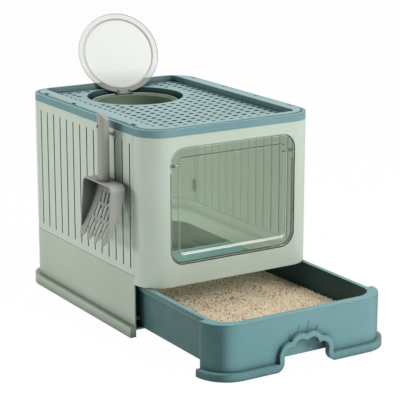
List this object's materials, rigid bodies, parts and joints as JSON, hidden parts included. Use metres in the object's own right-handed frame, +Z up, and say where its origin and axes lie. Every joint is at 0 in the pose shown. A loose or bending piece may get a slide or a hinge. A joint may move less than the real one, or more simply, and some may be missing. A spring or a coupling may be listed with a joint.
{
  "type": "litter box",
  "caption": "Enclosed litter box with a round top entry and lid, a hinged front window, a pull-out tray of litter and a hung slotted scoop.",
  "frame": {"origin": "middle of the underside of the resting object's bounding box", "axes": "+X to the right seen from the front, +Y towards the back, +Z up"},
  "size_m": [0.4454, 0.7862, 0.5461],
  "materials": {
    "sage_plastic": "fine satin moulding",
    "teal_plastic": "fine satin moulding",
    "cream_plastic": "smooth moulding",
    "clear_plastic": "clear moulded plastic",
    "smoked_plastic": "smoky clear moulded plastic",
    "grey_plastic": "satin moulding",
    "pin_steel": "bright drawn",
    "litter": "loose granules"
  },
  "bodies": {
    "body": {"base_frame": "sage_plastic", "litter_guard": "sage_plastic", "front_frame": "sage_plastic", "side_panel_left": "sage_plastic", "side_panel_right": "sage_plastic", "back_panel": "sage_plastic", "top_frame": "teal_plastic", "step_plate": "teal_plastic", "entry_collar": "cream_plastic", "lid_hinge_pin": "pin_steel", "door_hinge_pins": "pin_steel", "scoop_peg": "sage_plastic", "top_clips_left": "teal_plastic", "top_clips_right": "teal_plastic", "seam_clips_front": "sage_plastic", "seam_clips_rear": "sage_plastic"},
    "drawer_body": {"drawer": "teal_plastic", "litter_bed": "litter"},
    "door_body": {"front_door": "smoked_plastic"},
    "lid_body": {"top_lid": "clear_plastic"},
    "scoop_body": {"scoop": "grey_plastic"}
  },
  "joints": [
    {"name": "drawer_slide", "type": "slide", "parent": "body", "child": "drawer_body", "axis": [0, 1, 0], "range_m": [-0.15, 0.237]},
    {"name": "front_door_hinge", "type": "hinge", "parent": "body", "child": "door_body", "pos_m": [0.0227, -0.13839, 0.3361], "axis": [-1, 0, 0], "range_deg": [0, 80]},
    {"name": "top_lid_hinge", "type": "hinge", "parent": "body", "child": "lid_body", "pos_m": [0.04236, 0.31707, 0.3866], "axis": [-0.9744, 0.225, 0], "range_deg": [-115, 0]},
    {"name": "scoop_lift", "type": "slide", "parent": "body", "child": "scoop_body", "axis": [-0.866, 0, 0.5], "range_m": [0, 0.06]}
  ]
}
